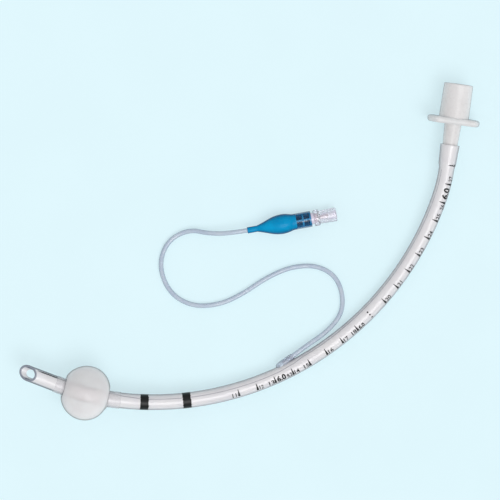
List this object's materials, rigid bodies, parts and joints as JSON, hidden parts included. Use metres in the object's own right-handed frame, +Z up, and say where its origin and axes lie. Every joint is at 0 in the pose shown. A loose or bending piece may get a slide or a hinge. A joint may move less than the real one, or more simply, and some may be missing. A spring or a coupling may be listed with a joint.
{
  "type": "endotracheal tube",
  "caption": "Cuffed tracheal tube with a bevelled tip, a side eye, a 15 mm connector, a pilot line and a pilot balloon with a sprung check valve.",
  "frame": {"origin": "middle of the base of the box round the tube, cuff, connector and bond, on the table that they lie on", "axes": "+X from the tip's side to the connector's side, +Y the way the connector's cone points, +Z up from the table"},
  "size_m": [0.239, 0.1757, 0.0284],
  "materials": {
    "clear_tube": "clear soft PVC with a faint haze",
    "cuff_film": "frosted thin film",
    "milky_plastic": "milky, satin moulding",
    "clear_adhesive": "clear, glossy",
    "line_plastic": "translucent, faintly blue",
    "blue_film": "translucent blue",
    "clear_valve": "clear, faintly violet, glossy",
    "seal_rubber": "silicone, matte",
    "white_plastic": "white moulding",
    "spring_steel": "bright wire"
  },
  "bodies": {
    "tube": {"tube_shaft": "clear_tube", "cuff": "cuff_film", "connector": "milky_plastic", "line_bond": "clear_adhesive", "pilot_line": "line_plastic", "pilot_balloon": "blue_film", "valve_stem": "clear_valve", "valve_barrel": "clear_valve", "valve_spring": "spring_steel"},
    "plunger": {"valve_plunger": "white_plastic", "valve_seal": "seal_rubber"}
  },
  "joints": [
    {"name": "valve_push", "type": "slide", "parent": "tube", "child": "plunger", "axis": [-0.9824, -0.1803, 0.0492], "range_m": [0, 0.0015], "stiffness_N_per_m": 200, "springref_m": -0.001, "deforming": ["valve_spring"]}
  ]
}
